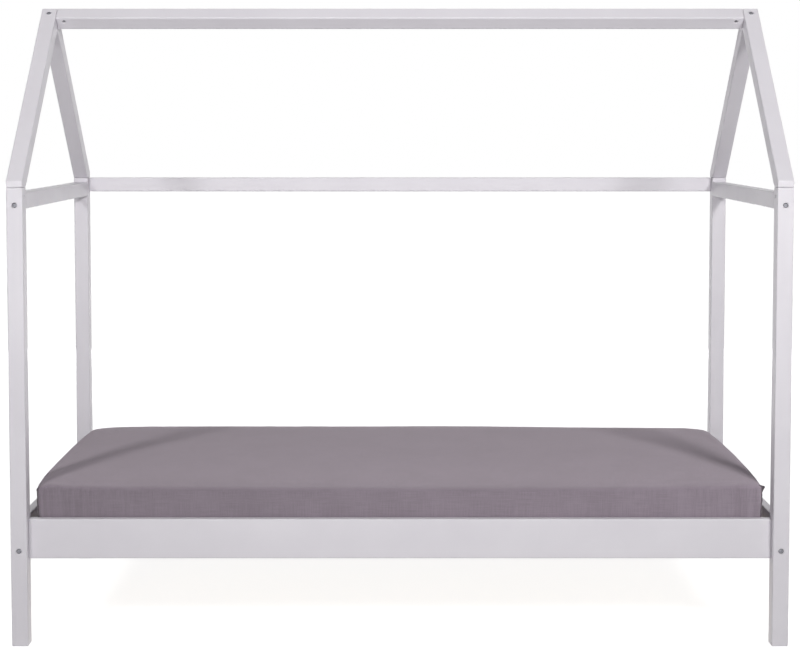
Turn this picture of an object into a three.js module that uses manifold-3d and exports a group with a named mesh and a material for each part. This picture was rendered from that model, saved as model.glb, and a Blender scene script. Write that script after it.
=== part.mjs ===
// House-frame bed for a child, 90 by 200 cm: four posts carry a gabled roof frame of rafters and a
// ridge beam, and rails at knee height carry a slatted base, a mattress and its fitted sheet.
// Millimetres. X runs along the bed, Y from front to back, Z up; the floor is at zero.
import * as THREE from 'three';
import { mergeVertices } from 'three/addons/utils/BufferGeometryUtils.js';
import Module from 'manifold-3d';

const wasm = await Module();
wasm.setup();

// Driving dimensions: the mattress sets the length and width of the bed
const mattressLength = 2000;
const mattressWidth = 900;
const mattressEndSlack = 20;
const mattressSideSlack = 5;
const postHeight = 1260;
const postSide = 45;
const rafterDepth = 45;
const apexPlaned = 2.6;
const timberEase = 3;

// Rails at knee height
const railThick = 25;
const railTall = 110;
const railBottom = 240;
const sideRailSetBack = 20;

// Rails at the eaves, below the tops of the posts
const eaveDrop = 14;
const backEaveThick = 25;
const backEaveTall = 45;
const backEaveDrop = 0;

// Slatted base
const baseDrop = 50;
const ledgerSide = 25;
const slatCount = 14;
const slatWidth = 75;
const slatThick = 18;
const slatEase = 2;
const tapeWidth = 16;
const tapeThick = 1.2;
const tapeEase = 0.4;
const tapeFromEnd = 200;

// Mattress in its fitted sheet
const mattressTall = 154;
const mattressFrontCorner = 26;
const mattressBackCorner = 70;
const mattressTopRound = 20;
const mattressFootRound = 14;
const mattressCrown = 8;
const mattressCornerDip = 7;
const mattressMidDrawn = 2;
const mattressFootDrawn = 6;
const mattressEndBelly = 8;
const sheetThick = 1.2;
const sheetTuck = 110;

// Bolts with barrel nuts, studs and dowels
const boltRadius = 3;
const boltHeadRadius = 6.5;
const boltHeadTall = 2.6;
const boltHeadSink = 0.7;
const boltBeyondNut = 7;
const boltTipEase = 0.8;
const socketRadius = 2.3;
const socketDeep = 1.7;
const nutRadius = 5;
const nutLength = 14;
const nutFromEnd = 30;
const nutSlotWide = 1.2;
const nutSlotDeep = 1;
const studNutDrop = 25;
const studGrip = 30;
const dowelRadius = 4;
const dowelOut = 10;

// Where bolts and dowels stand on the rails, above each rail's underside
const endRailBoltRise = 25;
const endRailDowelRise = 90;
const sideRailBoltRise = 75;
const sideRailDowelRise = 25;
const eaveBoltRise = 11;
const eaveDowelRise = 33;
const backEaveBoltRise = 9;
const backEaveDowelRise = 33;
const ridgeBoltDepth = 13;
const ridgeBoltShift = 7.6;
const ridgeNutFromEnd = 23;

// Clearances
const jointGap = 0.3;
const drillGap = 0.3;
const headWellGap = 0.8;
const drillOverrun = 2;
const weldGap = 0.0005;

// Facets and shares
const timberFacets = 2;
const slatFacets = 1;
const wellSides = 12;
const rodSides = 8;
const boltSides = 12;
const socketSides = 6;
const bevelShare = 0.9;
const headDomeShares = [[1, 0.5], [0.7, 0]];
const ringShares = [0.12, 0.3, 0.6, 0.9];

// Levels and centres that follow from the driving dimensions
const clearLength = mattressLength + 2 * mattressEndSlack;
const bedLength = clearLength + 2 * postSide;
const sideRailInnerY = mattressWidth / 2 + mattressSideSlack;
const sideRailCentreY = sideRailInnerY + railThick / 2;
const bedWidth = 2 * (sideRailInnerY + railThick + sideRailSetBack);
const clearWidth = bedWidth - 2 * postSide;
const postCentreX = (bedLength - postSide) / 2;
const postCentreY = (bedWidth - postSide) / 2;
const railTop = railBottom + railTall;
const eaveBottom = postHeight - eaveDrop - postSide;
const backEaveBottom = postHeight - backEaveDrop - backEaveTall;
const backEaveCentreY = (bedWidth - backEaveThick) / 2;
const slatTop = railTop - baseDrop;
const slatBottom = slatTop - slatThick;
const slatLength = mattressWidth;
const slopeDrop = rafterDepth * Math.SQRT2;
const apexHeight = postHeight + slopeDrop - postSide + bedWidth / 2;
const roofTop = apexHeight - apexPlaned;
const ridgeCentreZ = apexHeight - slopeDrop / 2;

const X = new THREE.Vector3(1, 0, 0);
const Y = new THREE.Vector3(0, 1, 0);
const Z = new THREE.Vector3(0, 0, 1);
const downSlope = new THREE.Vector3(0, 1, -1).normalize();
const upSlope = new THREE.Vector3(0, 1, 1).normalize();

function finish(color, roughness, metalness, flatShading) {
  return new THREE.MeshStandardMaterial({ color, roughness, metalness, flatShading });
}

const lacquer = finish('#e6e4e8', 0.42, 0, true);
const pine = finish('#dcbf94', 0.7, 0, true);
const zinc = finish('#9a9ba0', 0.35, 1, true);
const webbing = finish('#e4e0d6', 0.9, 0, true);
const ticking = finish('#efeeea', 0.9, 0, false);
const cotton = finish('#93899a', 0.95, 0, false);

// Solids: closed meshes that can be drilled and joined

function solidOf(geometry) {
  const bare = geometry.clone();
  bare.deleteAttribute('normal');
  bare.deleteAttribute('uv');
  const merged = mergeVertices(bare, weldGap);
  const corners = merged.index.array;
  const kept = [];
  for (let i = 0; i < corners.length; i += 3) {
    const [a, b, c] = corners.slice(i, i + 3);
    if (a !== b && b !== c && c !== a) kept.push(a, b, c);
  }
  const mesh = new wasm.Mesh({
    numProp: 3,
    vertProperties: new Float32Array(merged.attributes.position.array),
    triVerts: new Uint32Array(kept),
  });
  return new wasm.Manifold(mesh);
}

function geometryOf(solid) {
  const { vertProperties, triVerts } = solid.getMesh();
  const geometry = new THREE.BufferGeometry();
  geometry.setAttribute('position', new THREE.BufferAttribute(vertProperties, 3));
  geometry.setIndex(new THREE.BufferAttribute(triVerts, 1));
  geometry.computeVertexNormals();
  return geometry;
}

// A body joined with some rods and then cut by others
function worked(body, { joined = [], cut = [] }) {
  let solid = solidOf(body);
  for (const tool of joined) solid = solid.add(solidOf(tool));
  for (const tool of cut) solid = solid.subtract(solidOf(tool));
  return geometryOf(solid);
}

// A closed outline whose corners are rounded to one radius
function easedOutline(corners, radius) {
  const shape = new THREE.Shape();
  corners.forEach((corner, index) => {
    const toLast = corners.at(index - 1).clone().sub(corner).normalize();
    const toNext = corners[(index + 1) % corners.length].clone().sub(corner).normalize();
    const halfAngle = toLast.angleTo(toNext) / 2;
    const reach = radius / Math.tan(halfAngle);
    const middle = toLast.clone().add(toNext).setLength(radius / Math.sin(halfAngle)).add(corner);
    const start = corner.clone().addScaledVector(toLast, reach).sub(middle);
    const end = corner.clone().addScaledVector(toNext, reach).sub(middle);
    shape.absarc(middle.x, middle.y, radius, start.angle(), end.angle(), start.cross(end) < 0);
  });
  return shape;
}

// A plate in the YZ plane, centred on X, with all its edges eased
function easedPlate(corners, thickness, radius, facets) {
  const bevel = radius * bevelShare;
  const geometry = new THREE.ExtrudeGeometry(easedOutline(corners, radius), {
    depth: thickness - 2 * bevel,
    steps: 1,
    curveSegments: 1,
    bevelThickness: bevel,
    bevelSize: bevel,
    bevelOffset: -bevel,
    bevelSegments: facets,
  });
  geometry.translate(0, 0, bevel - thickness / 2);
  return geometry.applyMatrix4(new THREE.Matrix4().makeBasis(Y, Z, X));
}

// A bar with eased edges, centred on X and Y, its underside at zero
function easedBar(sizeX, sizeY, sizeZ, radius = timberEase, facets = timberFacets) {
  const corners = [[-1, 0], [1, 0], [1, 1], [-1, 1]]
    .map(([y, z]) => new THREE.Vector2(y * sizeY / 2, z * sizeZ));
  return easedPlate(corners, sizeX, radius, facets);
}

// A round rod from a point along a direction
function rod(from, direction, length, radius, sides = rodSides) {
  const geometry = new THREE.CylinderGeometry(radius, radius, length, sides);
  geometry.translate(0, length / 2, 0);
  geometry.applyQuaternion(new THREE.Quaternion().setFromUnitVectors(Y, direction));
  return geometry.translate(from.x, from.y, from.z);
}

// A hole that starts at a point on a face and runs into the timber, its facets outside the radius
function hole(mouth, direction, depth, radius, sides = rodSides) {
  const start = mouth.clone().addScaledVector(direction, -drillOverrun);
  return rod(start, direction, depth + drillOverrun, radius / Math.cos(Math.PI / sides), sides);
}

// The well that a bolt's head sinks into, and the hole of its shank through the timber
function boltHole(mouth, direction, thickness) {
  return [
    hole(mouth, direction, boltHeadSink + boltHeadTall + drillGap, boltHeadRadius + headWellGap, wellSides),
    hole(mouth, direction, thickness + drillOverrun, boltRadius + drillGap),
  ];
}

// The hole of a barrel nut whose middle lies at a depth below its mouth
function nutHole(mouth, direction, depth) {
  return hole(mouth, direction, depth + nutLength / 2 + drillGap, nutRadius + drillGap, wellSides);
}

function shankHole(mouth, direction, toNut) {
  return hole(mouth, direction, toNut + boltBeyondNut + drillGap, boltRadius + drillGap);
}

function dowelHole(mouth, direction) {
  return hole(mouth, direction, dowelOut + drillGap, dowelRadius + drillGap);
}

function point(x, y, z) {
  return new THREE.Vector3(x, y, z);
}

function piece(name, geometry, material, place) {
  const mesh = new THREE.Mesh(geometry, material);
  mesh.name = name;
  mesh.position.copy(place);
  return mesh;
}

// Corners of the bed: which end, which side, and the words for them
const ends = [[-1, 'left'], [1, 'right']];
const sides = [[-1, 'front'], [1, 'back']];
const bedCorners = sides.flatMap(([side, sideName]) =>
  ends.map(([end, endName]) => ({ end, side, name: `${sideName}_${endName}` })));

// Posts

function postGeometry(end, side) {
  const half = postSide / 2;
  const inX = X.clone().multiplyScalar(-end);
  const inY = Y.clone().multiplyScalar(-side);
  const outX = X.clone().multiplyScalar(end);
  const outY = Y.clone().multiplyScalar(side);
  const down = Z.clone().negate();
  const sideRailY = side * (sideRailCentreY - postCentreY);
  const studNutZ = postHeight - studNutDrop;
  const cut = [
    ...boltHole(point(0, side * half, railBottom + endRailBoltRise), inY, postSide),
    dowelHole(point(0, -side * half, railBottom + endRailDowelRise), outY),
    ...boltHole(point(0, side * half, eaveBottom + eaveBoltRise), inY, postSide),
    dowelHole(point(0, -side * half, eaveBottom + eaveDowelRise), outY),
    ...boltHole(point(end * half, sideRailY, railBottom + sideRailBoltRise), inX, postSide),
    dowelHole(point(-end * half, sideRailY, railBottom + sideRailDowelRise), outX),
    shankHole(point(0, 0, postHeight), down, studNutDrop),
  ];
  if (side < 0) {
    cut.push(nutHole(point(-end * half, 0, studNutZ), outX, half));
  } else {
    const backEaveY = backEaveCentreY - postCentreY;
    cut.push(
      nutHole(point(end * half, 0, studNutZ), inX, half),
      ...boltHole(point(end * half, backEaveY, backEaveBottom + backEaveBoltRise), inX, postSide),
      dowelHole(point(-end * half, backEaveY, backEaveBottom + backEaveDowelRise), outX),
    );
  }
  return worked(easedBar(postSide, postSide, postHeight), { cut });
}

const posts = new THREE.Group();
for (const { end, side, name } of bedCorners) {
  const foot = point(end * postCentreX, side * postCentreY, 0);
  posts.add(piece(`post_${name}`, postGeometry(end, side), lacquer, foot));
}

// Rails: each lies along X with the mattress on its -Y side until it is turned into place

function railGeometry({ length, thick, tall, boltRise, dowelRise, nutFromBeneath }) {
  const body = easedBar(length, thick, tall);
  const joined = [];
  const cut = [];
  for (const end of [-1, 1]) {
    const inward = X.clone().multiplyScalar(-end);
    const outward = X.clone().multiplyScalar(end);
    const nutX = end * (length / 2 - nutFromEnd);
    const dowelStart = point(end * (length / 2 - drillOverrun), 0, dowelRise);
    joined.push(rod(dowelStart, outward, drillOverrun + jointGap + dowelOut, dowelRadius));
    cut.push(shankHole(point(end * length / 2, 0, boltRise), inward, nutFromEnd));
    cut.push(nutFromBeneath
      ? nutHole(point(nutX, 0, 0), Z, boltRise)
      : nutHole(point(nutX, -thick / 2, boltRise), Y, thick / 2));
  }
  return worked(body, { joined, cut });
}

function turned(mesh, quarterTurns) {
  mesh.rotation.z = quarterTurns * Math.PI / 2;
  return mesh;
}

const sideRail = railGeometry({
  length: clearLength - 2 * jointGap, thick: railThick, tall: railTall,
  boltRise: sideRailBoltRise, dowelRise: sideRailDowelRise, nutFromBeneath: false,
});
const endRail = railGeometry({
  length: clearWidth - 2 * jointGap, thick: railThick, tall: railTall,
  boltRise: endRailBoltRise, dowelRise: endRailDowelRise, nutFromBeneath: false,
});
const eaveRail = railGeometry({
  length: clearWidth - 2 * jointGap, thick: postSide, tall: postSide,
  boltRise: eaveBoltRise, dowelRise: eaveDowelRise, nutFromBeneath: true,
});
const backEaveRail = railGeometry({
  length: clearLength - 2 * jointGap, thick: backEaveThick, tall: backEaveTall,
  boltRise: backEaveBoltRise, dowelRise: backEaveDowelRise, nutFromBeneath: true,
});

const rails = new THREE.Group();
rails.add(
  turned(piece('side_rail_front', sideRail, lacquer, point(0, -sideRailCentreY, railBottom)), 2),
  piece('side_rail_back', sideRail, lacquer, point(0, sideRailCentreY, railBottom)),
  piece('eave_rail_back', backEaveRail, lacquer, point(0, backEaveCentreY, backEaveBottom)),
);
for (const [end, endName] of ends) {
  rails.add(
    turned(piece(`end_rail_${endName}`, endRail, lacquer, point(end * postCentreX, 0, railBottom)), -end),
    turned(piece(`eave_rail_${endName}`, eaveRail, lacquer, point(end * postCentreX, 0, eaveBottom)), -end),
  );
}

// Roof: the front rafter runs through to the apex, the back one butts against its underside, and
// the ridge beam stands on its corner so that its faces lie flush with both

const half = bedWidth / 2;
const seatZ = postHeight + jointGap;
const eavesTop = postHeight + slopeDrop - postSide;

function frontRafterGeometry(end) {
  const outline = [
    [-half, seatZ], [-half + postSide + jointGap, seatZ], [slopeDrop / 2, ridgeCentreZ],
    [apexPlaned, roofTop], [-apexPlaned, roofTop], [-half, eavesTop],
  ].map(([y, z]) => new THREE.Vector2(y, z));
  const outward = X.clone().multiplyScalar(end);
  const inward = X.clone().multiplyScalar(-end);
  const ridgeMouth = ridgeBoltCentre().addScaledVector(outward, postSide / 2);
  return worked(easedPlate(outline, postSide, timberEase, timberFacets), {
    cut: [
      hole(point(0, -postCentreY, seatZ), Z, studGrip + drillGap, boltRadius + drillGap),
      ...boltHole(point(0, -slopeDrop / 4, apexHeight - slopeDrop / 4), downSlope, rafterDepth),
      ...boltHole(ridgeMouth, inward, postSide),
    ],
  });
}

function backRafterGeometry(end) {
  const buttShift = jointGap / Math.SQRT2;
  const outline = [
    [half, seatZ], [half, eavesTop], [slopeDrop / 2 + buttShift, ridgeCentreZ - buttShift],
    [buttShift, apexHeight - slopeDrop - buttShift], [half - postSide - jointGap, seatZ],
  ].map(([y, z]) => new THREE.Vector2(y, z));
  const buttCentre = point(0, slopeDrop / 4, apexHeight - slopeDrop * 3 / 4);
  const nutCentre = buttCentre.clone().addScaledVector(downSlope, nutFromEnd);
  const outward = X.clone().multiplyScalar(end);
  const inward = X.clone().multiplyScalar(-end);
  return worked(easedPlate(outline, postSide, timberEase, timberFacets), {
    cut: [
      hole(point(0, postCentreY, seatZ), Z, studGrip + drillGap, boltRadius + drillGap),
      shankHole(buttCentre, downSlope, nutFromEnd),
      nutHole(nutCentre.addScaledVector(outward, postSide / 2), inward, postSide / 2),
    ],
  });
}

// The ridge bolt passes beside the apex bolt, nearer the beam's lower front face
function ridgeBoltCentre() {
  const faceCentre = point(0, -slopeDrop / 4, ridgeCentreZ - slopeDrop / 4);
  return faceCentre.addScaledVector(downSlope, -ridgeBoltShift).addScaledVector(upSlope, ridgeBoltDepth);
}

const ridgeLength = clearLength - 2 * jointGap;

function ridgeGeometry() {
  const outline = [
    [0, apexHeight - slopeDrop], [slopeDrop / 2, ridgeCentreZ],
    [apexPlaned, roofTop], [-apexPlaned, roofTop], [-slopeDrop / 2, ridgeCentreZ],
  ].map(([y, z]) => new THREE.Vector2(y, z));
  const cut = [];
  for (const end of [-1, 1]) {
    const bolt = ridgeBoltCentre();
    const inward = X.clone().multiplyScalar(-end);
    const nutMouth = bolt.clone().addScaledVector(upSlope, -ridgeBoltDepth);
    nutMouth.x = end * (ridgeLength / 2 - ridgeNutFromEnd);
    bolt.x = end * ridgeLength / 2;
    cut.push(shankHole(bolt, inward, ridgeNutFromEnd), nutHole(nutMouth, upSlope, ridgeBoltDepth));
  }
  return worked(easedPlate(outline, ridgeLength, timberEase, timberFacets), { cut });
}

const roof = new THREE.Group();
roof.add(piece('ridge_beam', ridgeGeometry(), lacquer, point(0, 0, 0)));
for (const [end, endName] of ends) {
  const place = point(end * postCentreX, 0, 0);
  roof.add(
    piece(`rafter_front_${endName}`, frontRafterGeometry(end), lacquer, place),
    piece(`rafter_back_${endName}`, backRafterGeometry(end), lacquer, place),
  );
}

// Slatted base: ledgers along the side rails, slats across them, and two tapes that space the slats

const base = new THREE.Group();
const ledger = easedBar(mattressLength, ledgerSide, ledgerSide, slatEase, slatFacets);
const slat = easedBar(slatWidth, slatLength, slatThick, slatEase, slatFacets);
const tape = easedBar(mattressLength, tapeWidth, tapeThick, tapeEase, slatFacets);
for (const [side, sideName] of sides) {
  const ledgerY = sideRailInnerY - jointGap - ledgerSide / 2;
  const ledgerZ = slatBottom - jointGap - ledgerSide;
  const tapeY = slatLength / 2 - tapeFromEnd;
  const tapeZ = slatBottom - jointGap - tapeThick;
  base.add(
    piece(`ledger_${sideName}`, ledger, pine, point(0, side * ledgerY, ledgerZ)),
    piece(`slat_tape_${sideName}`, tape, webbing, point(0, side * tapeY, tapeZ)),
  );
}
const slatPitch = (mattressLength - slatWidth) / (slatCount - 1);
for (let i = 0; i < slatCount; i += 1) {
  const x = (slatWidth - mattressLength) / 2 + i * slatPitch;
  base.add(piece(`slat_${String(i + 1).padStart(2, '0')}`, slat, pine, point(x, 0, slatBottom)));
}

// Mattress and fitted sheet: rings round a rounded rectangle, stacked up a soft profile

const cornerSteps = 5;
const longSteps = 8;
const shortSteps = 4;
const roundSteps = 3;
const cornerDipPower = 10;

// One ring, as places round a rectangle of half sizes a and b with rounded corners
function ringPlaces(a, b, backRadius, frontRadius) {
  const onArc = ([signX, signY], quarters) => {
    const angle = quarters * Math.PI / 2;
    const radius = signY > 0 ? backRadius : frontRadius;
    return [signX * (a - radius) + radius * Math.cos(angle), signY * (b - radius) + radius * Math.sin(angle)];
  };
  const signs = [[1, 1], [-1, 1], [-1, -1], [1, -1]];
  return signs.flatMap((sign, index) => {
    const places = [];
    for (let i = 0; i <= cornerSteps; i += 1) places.push(onArc(sign, index + i / cornerSteps));
    const [fromX, fromY] = places.at(-1);
    const [toX, toY] = onArc(signs[(index + 1) % signs.length], index + 1);
    const steps = index % 2 === 0 ? longSteps : shortSteps;
    for (let i = 1; i < steps; i += 1) {
      places.push([fromX + (toX - fromX) * i / steps, fromY + (toY - fromY) * i / steps]);
    }
    return places;
  });
}

// The upright profile, as [distance in from the outline, height, how far the ring counts as top]
function softProfile(inset, openingInset) {
  const tall = mattressTall - 2 * inset;
  const foot = mattressFootRound - inset;
  const brow = mattressTopRound - inset;
  const reach = mattressWidth / 2 - inset;
  const edgeTop = tall - mattressCrown;
  const profile = [[openingInset, 0, 0]];
  for (let i = 0; i <= roundSteps; i += 1) {
    const angle = i / roundSteps * Math.PI / 2;
    profile.push([mattressFootDrawn + foot * (1 - Math.sin(angle)), foot * (1 - Math.cos(angle)), 0]);
  }
  profile.push([mattressMidDrawn, edgeTop / 2, 1 / 2]);
  for (let i = 0; i <= roundSteps; i += 1) {
    const angle = i / roundSteps * Math.PI / 2;
    profile.push([brow * (1 - Math.cos(angle)), edgeTop - brow * (1 - Math.sin(angle)), 1]);
  }
  for (const share of ringShares) {
    const crown = mattressCrown * (1 - (1 - share) ** 2);
    profile.push([brow + (reach - brow) * share, edgeTop + crown, 1]);
  }
  return profile;
}

function softRing(inset, [inward, height, topShare]) {
  const a = mattressLength / 2 - inset;
  const b = mattressWidth / 2 - inset;
  const [back, front] = [mattressBackCorner, mattressFrontCorner].map((round) => (
    Math.max(round - inset - inward, (round - inset) * ringShares[0])
  ));
  return ringPlaces(a - inward, b - inward, back, front).map(([x, y]) => {
    const alongShare = x / a;
    const acrossShare = y / b;
    const dip = mattressCornerDip * topShare * (alongShare * acrossShare) ** cornerDipPower;
    const belly = mattressEndBelly * (1 - acrossShare ** 2);
    return [x + alongShare * belly, y, inset + height - dip];
  });
}

// Faces between two rings, with the same diagonals whichever way they face
function stitch(index, lower, upper, count, outward = true) {
  for (let i = 0; i < count; i += 1) {
    const next = (i + 1) % count;
    if (outward) index.push(lower + i, lower + next, upper + next, lower + i, upper + next, upper + i);
    else index.push(lower + i, upper + next, lower + next, lower + i, upper + i, upper + next);
  }
}

// Faces across a ring that closes an end
function capRing(index, places, start, faceUp) {
  const flat = places.map(([x, y]) => new THREE.Vector2(x, y));
  for (const [a, b, c] of THREE.ShapeUtils.triangulateShape(flat, [])) {
    index.push(start + a, start + (faceUp ? b : c), start + (faceUp ? c : b));
  }
}

function softGeometry(rings, index) {
  const geometry = new THREE.BufferGeometry();
  geometry.setAttribute('position', new THREE.Float32BufferAttribute(rings.flat(2), 3));
  geometry.setIndex(index);
  geometry.computeVertexNormals();
  return geometry;
}

function mattressGeometry() {
  const inset = sheetThick + jointGap;
  const rings = softProfile(inset, sheetTuck).map((station) => softRing(inset, station));
  const count = rings[0].length;
  const index = [];
  for (let i = 0; i + 1 < rings.length; i += 1) stitch(index, i * count, (i + 1) * count, count);
  capRing(index, rings[0], 0, false);
  capRing(index, rings.at(-1), (rings.length - 1) * count, true);
  return softGeometry(rings, index);
}

// The sheet is a shell round the mattress, open beneath inside its tucked hem
function sheetGeometry() {
  const outer = softProfile(0, sheetTuck).map((station) => softRing(0, station));
  const inner = softProfile(sheetThick, sheetTuck).map((station) => softRing(sheetThick, station));
  const count = outer[0].length;
  const index = [];
  for (let i = 0; i + 1 < outer.length; i += 1) {
    stitch(index, i * count, (i + 1) * count, count);
    stitch(index, (outer.length + i) * count, (outer.length + i + 1) * count, count, false);
  }
  stitch(index, outer.length * count, 0, count);
  capRing(index, outer.at(-1), (outer.length - 1) * count, true);
  capRing(index, inner.at(-1), (2 * outer.length - 1) * count, false);
  return softGeometry([...outer, ...inner], index);
}

const bedding = new THREE.Group();
const beddingFoot = point(0, 0, slatTop + jointGap);
bedding.add(
  piece('mattress', mattressGeometry(), ticking, beddingFoot),
  piece('fitted_sheet', sheetGeometry(), cotton, beddingFoot),
);

// Bolts: the head lies at the origin and the shank runs along Z to a barrel nut that lies along X

function barrelNut(atZ) {
  const body = rod(point(-nutLength / 2, 0, atZ), X, nutLength, nutRadius);
  const slot = new THREE.BoxGeometry(2 * nutSlotDeep, nutSlotWide, 2 * (nutRadius + drillOverrun));
  slot.translate(nutLength / 2, 0, atZ);
  return worked(body, { cut: [slot] });
}

function boltGeometry(toNut) {
  const length = toNut + boltBeyondNut;
  const profile = [
    [0, length], [boltRadius - boltTipEase, length], [boltRadius, length - boltTipEase],
    [boltRadius, boltHeadTall], [boltHeadRadius, boltHeadTall],
    ...headDomeShares.map(([out, down]) => [boltHeadRadius * out, boltHeadTall * down]), [0, 0],
  ].map(([radius, depth]) => new THREE.Vector2(radius, -depth));
  const bolt = new THREE.LatheGeometry(profile, boltSides).rotateX(-Math.PI / 2);
  const socket = rod(point(0, 0, -drillOverrun), Z, drillOverrun + socketDeep, socketRadius, socketSides);
  return worked(bolt, { joined: [barrelNut(toNut)], cut: [socket] });
}

function studGeometry() {
  const length = boltBeyondNut + studNutDrop + jointGap + studGrip;
  const shank = rod(point(0, 0, -boltBeyondNut), Z, length, boltRadius, boltSides);
  return worked(shank, { joined: [barrelNut(0)] });
}

function fastener(name, geometry, place, along, nutMouth) {
  const mesh = piece(name, geometry, zinc, place);
  const across = new THREE.Vector3().crossVectors(along, nutMouth);
  mesh.quaternion.setFromRotationMatrix(new THREE.Matrix4().makeBasis(nutMouth, across, along));
  return mesh;
}

// A bolt whose head sinks below a point on the outer face
function sunkBolt(name, toNut, mouth, along, nutMouth) {
  const head = mouth.clone().addScaledVector(along, boltHeadSink);
  return fastener(name, boltGeometry(toNut - boltHeadSink), head, along, nutMouth);
}

const fasteners = new THREE.Group();
const postToNut = postSide + jointGap + nutFromEnd;
for (const { end, side, name } of bedCorners) {
  const inX = X.clone().multiplyScalar(-end);
  const inY = Y.clone().multiplyScalar(-side);
  const outX = X.clone().multiplyScalar(end);
  const down = Z.clone().negate();
  const faceY = side * bedWidth / 2;
  const faceX = end * bedLength / 2;
  const endRailMouth = point(end * postCentreX, faceY, railBottom + endRailBoltRise);
  const eaveMouth = point(end * postCentreX, faceY, eaveBottom + eaveBoltRise);
  const sideRailMouth = point(faceX, side * sideRailCentreY, railBottom + sideRailBoltRise);
  const studNut = point(end * postCentreX, side * postCentreY, postHeight - studNutDrop);
  fasteners.add(
    sunkBolt(`end_rail_bolt_${name}`, postToNut, endRailMouth, inY, inX),
    sunkBolt(`eave_bolt_${name}`, postToNut, eaveMouth, inY, down),
    sunkBolt(`side_rail_bolt_${name}`, postToNut, sideRailMouth, inX, inY),
    fastener(`rafter_stud_${name}`, studGeometry(), studNut, Z, side < 0 ? inX : outX),
  );
}
for (const [end, endName] of ends) {
  const inX = X.clone().multiplyScalar(-end);
  const outX = X.clone().multiplyScalar(end);
  const down = Z.clone().negate();
  const backEaveMouth = point(end * bedLength / 2, backEaveCentreY, backEaveBottom + backEaveBoltRise);
  const apexMouth = point(end * postCentreX, -slopeDrop / 4, apexHeight - slopeDrop / 4);
  const ridgeMouth = ridgeBoltCentre().addScaledVector(outX, bedLength / 2);
  const ridgeToNut = postSide + jointGap + ridgeNutFromEnd;
  const apexToNut = rafterDepth + nutFromEnd;
  fasteners.add(
    sunkBolt(`back_eave_bolt_${endName}`, postToNut, backEaveMouth, inX, down),
    sunkBolt(`apex_bolt_${endName}`, apexToNut, apexMouth, downSlope, outX),
    sunkBolt(`ridge_bolt_${endName}`, ridgeToNut, ridgeMouth, inX, upSlope.clone().negate()),
  );
}

const group = new THREE.Group();
group.add(posts, rails, roof, base, bedding, fasteners);

export default group;
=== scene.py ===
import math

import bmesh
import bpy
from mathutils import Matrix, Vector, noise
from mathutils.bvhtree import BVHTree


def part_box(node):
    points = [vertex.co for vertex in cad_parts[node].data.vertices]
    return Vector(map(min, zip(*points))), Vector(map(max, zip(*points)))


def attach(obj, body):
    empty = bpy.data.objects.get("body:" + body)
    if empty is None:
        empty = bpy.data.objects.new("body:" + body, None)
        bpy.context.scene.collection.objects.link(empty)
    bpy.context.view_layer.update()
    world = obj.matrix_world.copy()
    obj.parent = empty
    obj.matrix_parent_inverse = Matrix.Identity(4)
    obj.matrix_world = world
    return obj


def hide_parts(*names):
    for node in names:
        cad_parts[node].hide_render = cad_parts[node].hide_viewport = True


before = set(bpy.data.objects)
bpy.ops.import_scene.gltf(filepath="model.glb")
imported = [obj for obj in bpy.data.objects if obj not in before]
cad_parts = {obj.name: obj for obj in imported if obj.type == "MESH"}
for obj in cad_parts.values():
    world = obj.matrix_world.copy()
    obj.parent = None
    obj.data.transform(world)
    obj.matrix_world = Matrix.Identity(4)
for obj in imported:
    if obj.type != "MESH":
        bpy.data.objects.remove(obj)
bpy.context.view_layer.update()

# %% [markdown]
# # A child's house-frame bed, dressed for a studio picture
# The timber frame, its bolts and its slats come finished in shape from the CAD model. This
# notebook gives them their finish and adds what a workshop drawing leaves out: the screws and
# staples, the mattress in its cover, and the grey fitted sheet stretched over it.

MM = 0.001

print("CAD nodes:", len(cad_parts))

# %% [markdown]
# ## The camera
# The bed was photographed square on, from about the height of the eaves and five metres away,
# with a long lens. A photographer keeps posts upright either by holding the camera level and
# shifting the lens, or by tilting a little and accepting a slight lean. A small tilt with a small
# shift is used here, so that the roof still fits when the camera is carried round the bed.

# %% Camera
CAMERA_PLACE = Vector((0, -5.058, 1.414))
CAMERA_TILT = math.radians(3.4)
CAMERA_SENSOR_MM = 36
CAMERA_LENS_MM = 75.98
CAMERA_SHIFT = -0.122


def placed(name, data):
    """A new object in the scene that holds this data."""
    thing = bpy.data.objects.new(name, data)
    bpy.context.collection.objects.link(thing)
    return thing


camera_data = bpy.data.cameras.new("camera")
camera_data.sensor_width = CAMERA_SENSOR_MM
camera_data.lens = CAMERA_LENS_MM
camera_data.shift_y = CAMERA_SHIFT
camera = placed("camera", camera_data)
camera.location = CAMERA_PLACE
camera.rotation_euler = (math.pi / 2 - CAMERA_TILT, 0, 0)
bpy.context.scene.camera = camera
print("camera", round(-CAMERA_PLACE.y, 2), "m in front of the middle of the bed")

# %% [markdown]
# ## Short words for shader nodes
# A procedural material is a small graph of nodes. Building one by hand in the editor is pleasant,
# but in a script each node takes several lines. These helpers add a node, set its properties and
# join its inputs in one call, so that each material below reads as a list of what it is made of.

# %% Helpers for materials
def new_material(name):
    """An empty material with one Principled shader, ready for its nodes."""
    material = bpy.data.materials.new(name)
    material.use_nodes = True
    tree = material.node_tree
    tree.nodes.clear()
    shader = tree.nodes.new("ShaderNodeBsdfPrincipled")
    output = tree.nodes.new("ShaderNodeOutputMaterial")
    tree.links.new(shader.outputs["BSDF"], output.inputs["Surface"])
    return material, tree, shader


def join(tree, target, value):
    """Links a socket to an input, or sets the input to a plain value."""
    if isinstance(value, bpy.types.NodeSocket):
        tree.links.new(value, target)
    else:
        target.default_value = value


def give(tree, node, inputs):
    """Joins several inputs of a node at once."""
    for name, value in inputs.items():
        join(tree, node.inputs[name], value)


def add(tree, kind, inputs=None, **settings):
    node = tree.nodes.new("ShaderNode" + kind)
    for name, value in settings.items():
        setattr(node, name, value)
    give(tree, node, inputs or {})
    return node


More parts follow.
